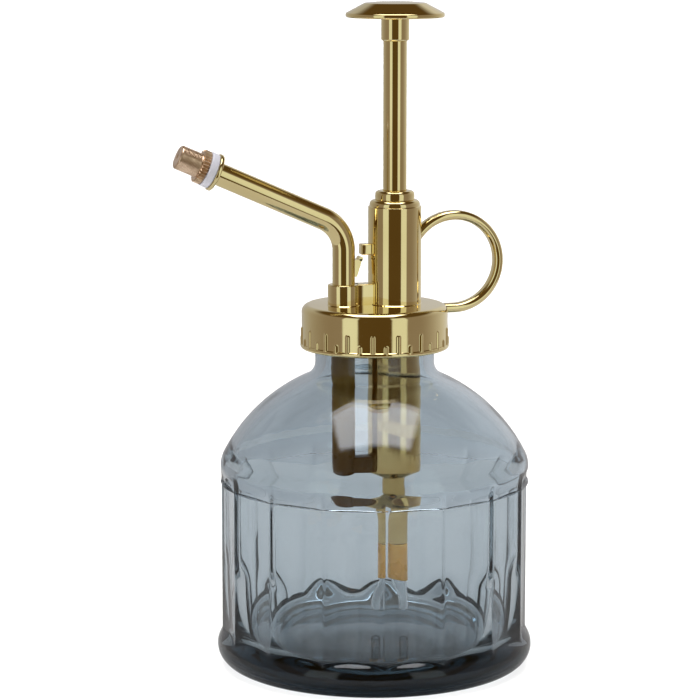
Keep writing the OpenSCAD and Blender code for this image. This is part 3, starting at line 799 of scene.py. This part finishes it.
def rod_shape():
    shoulder = rod_lo.z + ROD_SPIGOT_L
    return revolve(soften([
        (0, rod_lo.z, 0), (ROD_SPIGOT_R, rod_lo.z, EDGE_SMALL), (ROD_SPIGOT_R, shoulder, 0),
        (ROD_R, shoulder, EDGE_SMALL), (ROD_R, rod_hi.z, 0), (0, rod_hi.z, 0),
    ]))


def knob_shape():
    """Mushroom knob: a slightly crowned top, sloped shoulder, round rim and a collar below."""
    return revolve(soften([
        (ROD_R, knob_lo.z, EDGE_CRISP), (COLLAR_R, knob_lo.z, EDGE_BROAD), (COLLAR_R, KNOB_Z, EDGE_SOFT),
        (KNOB_R, KNOB_Z, EDGE_FULL), (KNOB_R, KNOB_Z + KNOB_RIM_H, EDGE_FULL),
        (KNOB_CROWN_R, KNOB_TOP - KNOB_CROWN_DROP, KNOB_SHOULDER_R),
        (KNOB_CROWN_R * KNOB_FLAT_SHARE, KNOB_TOP, KNOB_FLAT_ROUND),
        (0, KNOB_TOP, 0), (0, KNOB_Z, 0), (ROD_R, KNOB_Z, 0),
    ], steps=8), steps=160)


piece("gland_collar", "pump_head", GOLD, [at_barrel(gland_shape())], ["gland_nut"])
piece("plunger_stem", "plunger", GOLD, [at_barrel(rod_shape())], ["plunger_rod"])
piece("thumb_button", "plunger", GOLD, [at_barrel(knob_shape())], ["thumb_knob"])

# Cylinder, riser and the pieces under them
CYLINDER_R = 6.7
BORE_R = 4.9
BORE_FLOOR_T = 2.5
CONE_TOP = 47.5
CONE_H = 3.5
NIPPLE_R = (connector_hi.x - connector_lo.x) / 2
NIPPLE_Z = connector_hi.z
TUBE_R = (tube_hi.x - tube_lo.x) / 2
TUBE_BORE_R = 1.4
RISER_R = (plug_hi.x - plug_lo.x) / 2
RISER_BORE_R = 1.2
PLUG_HEAD_H = 2.0
PLUG_SHANK_R = 1.98
PLUG_HOLLOW = 0.6
BRIDGE_Z = plug_lo.z + PLUG_HEAD_H
BRIDGE_W = 4.4
BRIDGE_H = 5.6
BRIDGE_START = 1.5
BRIDGE_GAP = 0.4


def cylinder_shape():
    """Cylinder with its liner, cone and nipple."""
    bore_z = CONE_TOP + BORE_FLOOR_T
    return revolve(soften([
        (TUBE_BORE_R, cylinder_lo.z, 0), (TUBE_R, cylinder_lo.z, 0), (TUBE_R, NIPPLE_Z, 0),
        (NIPPLE_R, NIPPLE_Z, EDGE_SMALL), (NIPPLE_R, CONE_TOP - CONE_H, EDGE_FULL),
        (CYLINDER_R, CONE_TOP, EDGE_BROAD), (CYLINDER_R, PLATE_Z, 0), (LINER_R, PLATE_Z, 0),
        (LINER_R, cylinder_hi.z, 0), (BORE_R, cylinder_hi.z, 0), (BORE_R, bore_z, 0),
        (TUBE_BORE_R, bore_z, 0),
    ]))


def riser_shapes():
    """Riser beside the cylinder, and the bridge between them."""
    riser = revolve(soften([
        (RISER_BORE_R, BRIDGE_Z, 0), (RISER_R, BRIDGE_Z, EDGE_FINE),
        (RISER_R, TOP_Z, 0), (RISER_BORE_R, TOP_Z, 0),
    ]))
    bridge = block(
        (SPOUT_X + BRIDGE_START, -BRIDGE_W / 2, BRIDGE_Z),
        (BARREL_X - BORE_R - BRIDGE_GAP, BRIDGE_W / 2, BRIDGE_Z + BRIDGE_H), EDGE_SOFT,
    )
    return [at_spout(riser), bridge]


def plug_shape():
    """Plug at the riser's foot: a domed head and a shank with a hollow top."""
    head_r = (RISER_R ** 2 + PLUG_HEAD_H ** 2) / (2 * PLUG_HEAD_H)
    edge = math.degrees(math.asin((head_r - PLUG_HEAD_H) / head_r))
    outline = arc(0, plug_lo.z + head_r, head_r, -90, -edge, steps=10)
    outline[0] = (0, plug_lo.z)
    outline += [(PLUG_SHANK_R, BRIDGE_Z), (PLUG_SHANK_R, plug_hi.z), (0, plug_hi.z - PLUG_HOLLOW)]
    return revolve(outline)


def connector_shape():
    return revolve(soften([
        (TUBE_R, connector_lo.z, 0), (NIPPLE_R, connector_lo.z, EDGE_SOFT),
        (NIPPLE_R, connector_hi.z, EDGE_SMALL), (TUBE_R, connector_hi.z, 0),
    ]))


def tube_shape():
    return revolve(soften([
        (TUBE_BORE_R, tube_lo.z, EDGE_CRISP), (TUBE_R, tube_lo.z, EDGE_FINE),
        (TUBE_R, tube_hi.z, 0), (TUBE_BORE_R, tube_hi.z, 0),
    ]))


piece(
    "cylinder_body", "pump_head", INNER_GOLD, [at_barrel(cylinder_shape())], ["pump_cylinder"],
)
piece("riser_pipe", "pump_head", BROWN, riser_shapes(), ["pump_cylinder"])
piece("riser_foot", "pump_head", BROWN, [at_spout(plug_shape())], ["riser_plug"])
piece(
    "amber_sleeve", "pump_head", AMBER, [at_barrel(connector_shape())], ["tube_connector"],
)
piece("suction_tube", "pump_head", CLEAR, [at_barrel(tube_shape())], ["dip_tube"])

# Return spring
SPRING_TURNS = 14
SPRING_TURN_STEPS = 32
SPRING_WIRE_R = 0.4
SPRING_R = (spring_hi.y - spring_lo.y) / 2 - SPRING_WIRE_R


def spring_shape():
    """One round wire wound as a helix."""
    steps = SPRING_TURNS * SPRING_TURN_STEPS
    rise = spring_hi.z - spring_lo.z - 2 * SPRING_WIRE_R
    path = []
    for i in range(steps + 1):
        turn = 2 * math.pi * SPRING_TURNS * i / steps
        out = Vector((math.cos(turn), math.sin(turn), 0))
        place = out * SPRING_R + Vector((0, 0, spring_lo.z + SPRING_WIRE_R + rise * i / steps))
        path.append((place, out, Vector((0, 0, 1))))
    return sweep(path, circle(SPRING_WIRE_R, steps=12))


spring = piece("coil_spring", "pump_head", STEEL, [at_barrel(spring_shape())], ["return_spring"])
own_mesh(spring)

# Spout
BEND_R = 8.8
BEND_STEPS = 24
SPOUT_BORE_R = 1.7
SPOUT_L = 35.5
FLANGE_R = 4.75
FLANGE_T = 1.0
FLANGE_ROOT = 0.3
STUB_R = 2.5
STUB_END = 41.3
TAB_W = 2.6
TAB_H = 5.0
TAB_L = 1.9
TAB_FOOT_L = 0.3
TAB_ROOT_R = 0.8 * SPOUT_R
TAB_BEAD_R = 0.55
TAB_BEAD_PROUD = 0.2
TAB_ROOT_DROP = 1.5 * TAB_BEAD_R
TAB_GAP = 0.4


def spout_tube():
    """Tube from the socket round the bend to the flange."""
    lean = math.acos(SPOUT_AXIS.z)
    bend_z = SPOUT_CORNER.z - BEND_R * math.tan(lean / 2)
    depth = Vector((0, 1, 0))
    path = [(Vector((SPOUT_X, 0, spout_lo.z)), Vector((1, 0, 0)), depth)]
    for i in range(BEND_STEPS + 1):
        turn = lean * i / BEND_STEPS
        out = Vector((math.cos(turn), 0, math.sin(turn)))
        path.append((Vector((SPOUT_X - BEND_R, 0, bend_z)) + out * BEND_R, out, depth))
    path.append((SPOUT_CORNER + SPOUT_AXIS * SPOUT_L, out, depth))
    return sweep(path, circle(SPOUT_R, steps=48))


def spout_flange():
    """Flange at the tube's end, and the threaded stub that carries the nozzle."""
    root, face = SPOUT_L - FLANGE_ROOT, SPOUT_L + FLANGE_T
    return along_spout(revolve(soften([
        (STUB_R, root, 0), (SPOUT_R, root, 0), (SPOUT_R, SPOUT_L, EDGE_SMALL),
        (FLANGE_R, SPOUT_L, EDGE_PLAIN), (FLANGE_R, face, EDGE_PLAIN), (STUB_R, face, 0),
        (STUB_R, STUB_END, EDGE_PLAIN), (SPOUT_BORE_R, STUB_END, 0),
        (SPOUT_BORE_R, SPOUT_L, 0), (STUB_R, SPOUT_L, 0),
    ])))


def spout_tab():
    """Snap tab under the barrel's catch, with a round bead along its top."""
    top = TOP_Z + CATCH_Z - TAB_GAP
    tip = SPOUT_R + TAB_L
    side = [
        (TAB_ROOT_R, top - TAB_H), (SPOUT_R + TAB_FOOT_L, top - TAB_H),
        (tip - TAB_BEAD_PROUD, top - TAB_BEAD_R), (TAB_ROOT_R, top - TAB_ROOT_DROP),
    ]
    bead = circle(TAB_BEAD_R, steps=24, middle=(tip - TAB_BEAD_R, top - TAB_BEAD_R))
    ends = (-TAB_W / 2, TAB_W / 2)
    stations = [(Vector((SPOUT_X, y, 0)), Vector((1, 0, 0)), Vector((0, 0, 1))) for y in ends]
    return [sweep(stations, side), sweep(stations, bead)]


spout_shapes = [spout_tube(), spout_flange(), *spout_tab()]
piece("spout_pipe", "pump_head", GOLD, spout_shapes, ["spout_tube"])

# Washer and nozzle
WASHER_U = SPOUT_L + FLANGE_T
WASHER_T = 2.1
WASHER_R = 4.45
KNURL_U = WASHER_U + WASHER_T
KNURL_W = 1.9
KNURL_R = 4.3
KNURL_TEETH = 30
KNURL_DEPTH = 0.6
TOOTH_STEPS = 8
NOSE_R = 3.05
NOSE_L = 5.7
NOSE_WALL = 0.9
SPRAY_R = 0.35
SPRAY_EDGE = 0.05
SINK_R = 2 * SPRAY_R
CHAMBER_R = 1.95
CHAMBER_GAP = 0.4


def washer_shape():
    return revolve(soften([
        (STUB_R, WASHER_U, EDGE_CRISP), (WASHER_R, WASHER_U, EDGE_SOFT),
        (WASHER_R, WASHER_U + WASHER_T, EDGE_SOFT), (STUB_R, WASHER_U + WASHER_T, EDGE_CRISP),
    ]))


def nozzle_shape():
    """Turned nozzle: a knurled ring and a nose with a countersunk spray hole."""
    knurl_end = KNURL_U + KNURL_W
    end = knurl_end + NOSE_L
    bore_end = end - NOSE_WALL
    thread_r, thread_end = STUB_R + RUN_GAP, STUB_END + CHAMBER_GAP
    outline = soften([
        (thread_r, KNURL_U, 0), (KNURL_R, KNURL_U, EDGE_PLAIN), (KNURL_R, knurl_end, EDGE_PLAIN),
        (NOSE_R, knurl_end, EDGE_MILD), (NOSE_R, end, EDGE_FULL), (SINK_R, end, SPRAY_EDGE),
        (SPRAY_R, end - SPRAY_R, 0), (SPRAY_R, bore_end, 0), (CHAMBER_R, bore_end, 0),
        (CHAMBER_R, thread_end, 0), (thread_r, thread_end, 0),
    ])
    points, faces = revolve(outline, steps=KNURL_TEETH * TOOTH_STEPS)
    # The teeth run out over twice their depth, towards the axis
    reach = 2 * KNURL_DEPTH
    toothed = []
    for x, y, z in points:
        r = math.hypot(x, y)
        share = max(r - (KNURL_R - reach), 0) / reach
        tooth = (1 - math.cos(math.atan2(y, x) * KNURL_TEETH)) / 2
        scale = 1 - share * KNURL_DEPTH * tooth / r
        toothed.append((x * scale, y * scale, z))
    return toothed, faces


piece(
    "spray_washer", "pump_head", WASHER, [along_spout(washer_shape())], ["nozzle_washer"],
)
piece("spray_nozzle", "nozzle", BRASS, [along_spout(nozzle_shape())], ["nozzle_tip"])

# Pieces inside the pump keep their CAD shapes
INSIDE = {
    "neck_gasket": RUBBER, "rod_seal": RUBBER, "piston_seal": RUBBER, "spout_seal": RUBBER,
    "piston": WHITE, "valve_cage": WHITE, "swirl_insert": WHITE, "inlet_ball": STEEL, "outlet_ball": STEEL,
}
for name, material in INSIDE.items():
    mesh = frame["nodes"][name].data
    mesh.materials.clear()
    mesh.materials.append(material)

# Camera: its place is millimetres, its angles are degrees, and its far end is metres
CAMERA_PLACE = (-199.98, -674.92, 195.84)
CAMERA_TURN = 16.0
CAMERA_PITCH = 9.329
CAMERA_LENS = 145.577
CAMERA_SENSOR = 36.0
CAMERA_FAR = 20.0

camera = bpy.data.cameras.new("camera")
camera.lens = CAMERA_LENS
camera.sensor_width = CAMERA_SENSOR
camera.clip_end = CAMERA_FAR
viewer = bpy.data.objects.new("camera", camera)
viewer.location = Vector(CAMERA_PLACE) * MM
viewer.rotation_euler = (math.radians(90 - CAMERA_PITCH), 0, math.radians(-CAMERA_TURN))
scene.collection.objects.link(viewer)
scene.camera = viewer

# Studio: the surroundings that the metal and the glass show
BACKDROP_LEFT = (0.48, 0.475, 0.485)
BACKDROP_RIGHT = (0.70, 0.69, 0.70)
BACKDROP_EDGE = 0.05
BACKDROP_SOFT = 0.3
SIDES = (0.285, 0.235, 0.20)
SIDES_TO = 115.0
SIDES_SOFT = 45.0
DARK_ROOM = (0.105, 0.063, 0.02)
CEILING = 36.0
CEILING_SOFT = 8.0
UNDER_TABLE = (0.05, 0.05, 0.055)
UNDERSIDE = -28.0
UNDERSIDE_SOFT = 6.0
STRIP_LIGHT = (0.82, 0.87, 0.83)
STRIP_FROM = 27.0
STRIP_TO = 52.0
STRIP_SOFT = 2.0
SOFTBOX = (4.2, 4.2, 4.3)
SOFTBOX_HALF = 0.40
SOFTBOX_NEAR = -0.364
SOFTBOX_FAR = 0.32
SOFTBOX_SOFT = 0.04
SOFTBOX_LOWEST = 20.0
SOFTBOX_LOWEST_SOFT = 2.0
LEAST_UP = 0.05
PAPER = (1.0, 1.0, 1.0)


def studio():
    """World: a dark room with a lit backdrop, two strip lights at its dark end and a softbox above.

    Edges are degrees aside from the dark end or above the horizon. The backdrop's edge is a
    direction's X, and the softbox lies on a level plane whose height is 1.
    """
    world = bpy.data.worlds.new("studio")
    world.use_nodes = True
    scene.world = world
    tree = world.node_tree

    def past(value, edge, soft):
        """1 where a value has passed an edge, 0 before it, with a soft step between."""
        settings = {"Value": value, "From Min": edge - soft, "From Max": edge + soft}
        step = node(tree, "ShaderNodeMapRange", interpolation_type="SMOOTHSTEP", **settings)
        return step.outputs["Result"]

    def before(value, edge, soft):
        return calc(tree, "SUBTRACT", 1.0, past(value, edge, soft))

    def between(value, start, end, soft):
        return calc(tree, "MULTIPLY", past(value, start, soft), before(value, end, soft))

    def paint(share, colour, base):
        """A colour laid over another one by a share; a colour is three numbers or a socket."""
        under, over = [c if isinstance(c, bpy.types.NodeSocket) else (*c, 1) for c in (base, colour)]
        return node(tree, "ShaderNodeMixRGB", Fac=share, Color1=under, Color2=over).outputs["Color"]

    place = node(tree, "ShaderNodeTexCoord").outputs["Generated"]
    turned = node(
        tree, "ShaderNodeVectorRotate", Vector=place, Axis=(0, 0, 1), Angle=math.radians(CAMERA_TURN),
    ).outputs["Vector"]
    axes = node(tree, "ShaderNodeSeparateXYZ", Vector=turned).outputs
    back = calc(tree, "MULTIPLY", axes["Y"], -1.0)
    aside = calc(tree, "DEGREES", calc(tree, "ABSOLUTE", calc(tree, "ARCTAN2", axes["X"], back)))
    height = calc(tree, "DEGREES", calc(tree, "ARCSINE", axes["Z"]))
    backdrop = paint(past(axes["X"], BACKDROP_EDGE, BACKDROP_SOFT), BACKDROP_RIGHT, BACKDROP_LEFT)
    colour = paint(past(aside, SIDES_TO, SIDES_SOFT), backdrop, SIDES)
    colour = paint(before(aside, STRIP_FROM, STRIP_SOFT), DARK_ROOM, colour)
    colour = paint(between(aside, STRIP_FROM, STRIP_TO, STRIP_SOFT), STRIP_LIGHT, colour)
    colour = paint(past(height, CEILING, CEILING_SOFT), DARK_ROOM, colour)
    colour = paint(before(height, UNDERSIDE, UNDERSIDE_SOFT), UNDER_TABLE, colour)
    up = calc(tree, "MAXIMUM", axes["Z"], LEAST_UP)
    across = calc(tree, "ABSOLUTE", calc(tree, "DIVIDE", axes["X"], up))
    along = calc(tree, "DIVIDE", axes["Y"], up)
    width = before(across, SOFTBOX_HALF, SOFTBOX_SOFT)
    length = between(along, SOFTBOX_NEAR, SOFTBOX_FAR, SOFTBOX_SOFT)
    above = past(height, SOFTBOX_LOWEST, SOFTBOX_LOWEST_SOFT)
    box = calc(tree, "MULTIPLY", calc(tree, "MULTIPLY", width, length), above)
    colour = paint(box, SOFTBOX, colour)
    colour = paint(node(tree, "ShaderNodeLightPath").outputs["Is Camera Ray"], PAPER, colour)
    tree.links.new(colour, tree.nodes["Background"].inputs["Color"])


# Floor and light: lengths are metres, angles are degrees
STAGE_R = 7.0
STAGE_Z = -0.0002
STAGE_LOW = (0.90, 0.90, 0.90)
STAGE_HIGH = (0.92, 0.92, 0.92)
TABLE_R = 0.262
TABLE_Z = -0.0001
TABLE_GREY = (0.37, 0.37, 0.37)
SHADE_R = 0.036
SHADE_CORE_R = 0.018
SHADE_SHIFT = 0.016
SHADE_DARK = (0.035, 0.038, 0.041)
MATT = {"Roughness": 0.9, "Specular_IOR_Level": 0.0}
KEY_ENERGY = 2.6
KEY_SPREAD = 50.0
KEY_LEAN = (8.0, -6.0)


def matt(name, low, high):
    material, tree, shader = new_material(name)
    colour = blend_colours(tree, noise(tree, scale=3), low, high)
    finish_shader(tree, shader, Base_Color=colour, **MATT)
    return material


def soft_shade():
    """The bottle's shade on the table: dark in its middle, running out into the table's grey."""
    material, tree, shader = new_material("foot_shade")
    reach = node(tree, "ShaderNodeVectorMath", operation="LENGTH", Vector=own_place(tree)).outputs["Value"]
    share = spread(tree, reach, NOISE_LOW, NOISE_HIGH, SHADE_CORE_R, SHADE_R)
    colour = blend_colours(tree, share, SHADE_DARK, TABLE_GREY)
    finish_shader(tree, shader, Base_Color=colour, **MATT)
    return material


def ground(name, radius, z, material):
    """A level disc of the stage."""
    points, faces = revolve([(0, z), (radius, z)], closed=False)
    mesh = bpy.data.meshes.new(name)
    mesh.from_pydata([Vector(p) for p in points], [], faces)
    mesh.materials.append(material)
    obj = bpy.data.objects.new(name, mesh)
    scene.collection.objects.link(obj)
    return obj


def floor():
    """A wide pale floor; glass and mirrors show a grey table top in its place, with the bottle's shade."""
    wide = ground("floor", STAGE_R, STAGE_Z, matt("pale_floor", STAGE_LOW, STAGE_HIGH))
    wide.visible_transmission = False
    wide.visible_glossy = False
    table = ground("table_top", TABLE_R, TABLE_Z, matt("grey_table", TABLE_GREY, TABLE_GREY))
    shade = ground("foot_shade", SHADE_R, 0, soft_shade())
    turn = math.radians(CAMERA_TURN)
    shade.location = Vector((-math.sin(turn), -math.cos(turn), 0)) * SHADE_SHIFT
    for seen_in_glass in (table, shade):
        seen_in_glass.visible_camera = False
        seen_in_glass.visible_diffuse = False
        seen_in_glass.visible_shadow = False


def top_key():
    """Soft light from above for the floor and the plastic; the mirrors show the studio instead."""
    light = bpy.data.lights.new("top_key", "SUN")
    light.energy = KEY_ENERGY
    light.angle = math.radians(KEY_SPREAD)
    obj = bpy.data.objects.new("top_key", light)
    obj.rotation_euler = (math.radians(KEY_LEAN[0]), math.radians(KEY_LEAN[1]), 0)
    obj.visible_glossy = False
    obj.visible_transmission = False
    scene.collection.objects.link(obj)


studio()
floor()
top_key()

scene.view_settings.view_transform = "Standard"
scene.cycles.max_bounces = 24
scene.cycles.transmission_bounces = 20
scene.cycles.glossy_bounces = 8
scene.cycles.sample_clamp_indirect = 6
